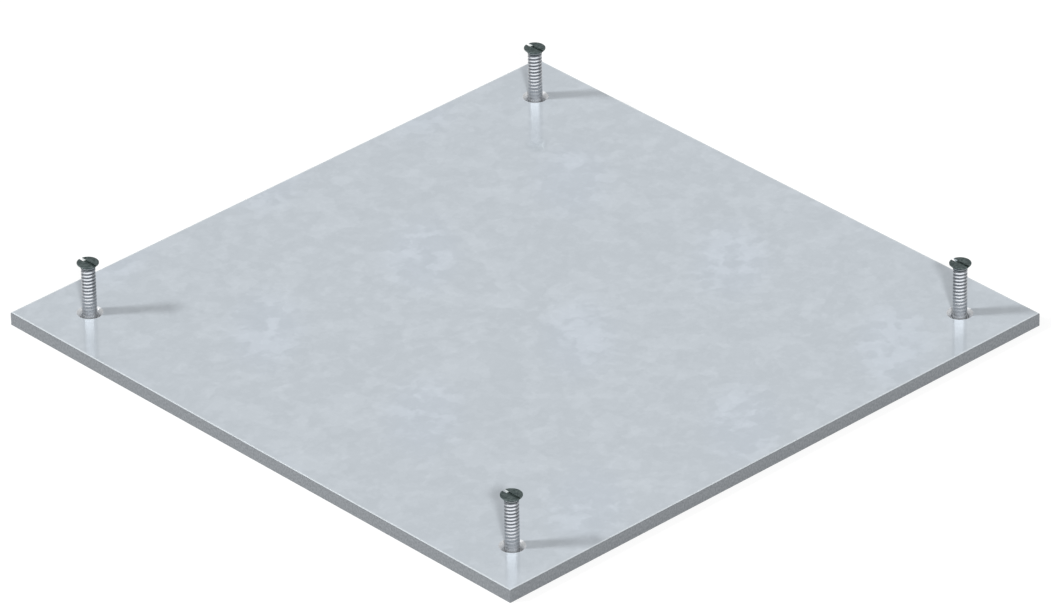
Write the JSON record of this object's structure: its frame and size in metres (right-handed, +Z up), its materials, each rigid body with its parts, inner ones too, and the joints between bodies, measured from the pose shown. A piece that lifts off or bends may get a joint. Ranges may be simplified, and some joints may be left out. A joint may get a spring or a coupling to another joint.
{
  "type": "rectangular cover plate",
  "caption": "Flat square galvanised cover plate with a countersunk hole near each corner and its slotted countersunk screws standing loose in the holes.",
  "frame": {"origin": "centre of the plate's underside, which is also the bottom centre of the whole part", "axes": "+Z up out of the plate's top face, +X along its width, +Y along its depth"},
  "size_m": [0.25, 0.25, 0.025],
  "materials": {
    "galvanised_plate": "hot-dip galvanised sheet with a soft, pale blue-grey spangle",
    "zinc_plated_screw": "bright zinc plate on the thread, dark grey head"
  },
  "bodies": {
    "root": {"cover_plate": "galvanised_plate", "screw_front_left": "zinc_plated_screw", "screw_front_right": "zinc_plated_screw", "screw_back_left": "zinc_plated_screw", "screw_back_right": "zinc_plated_screw"}
  },
  "joints": []
}
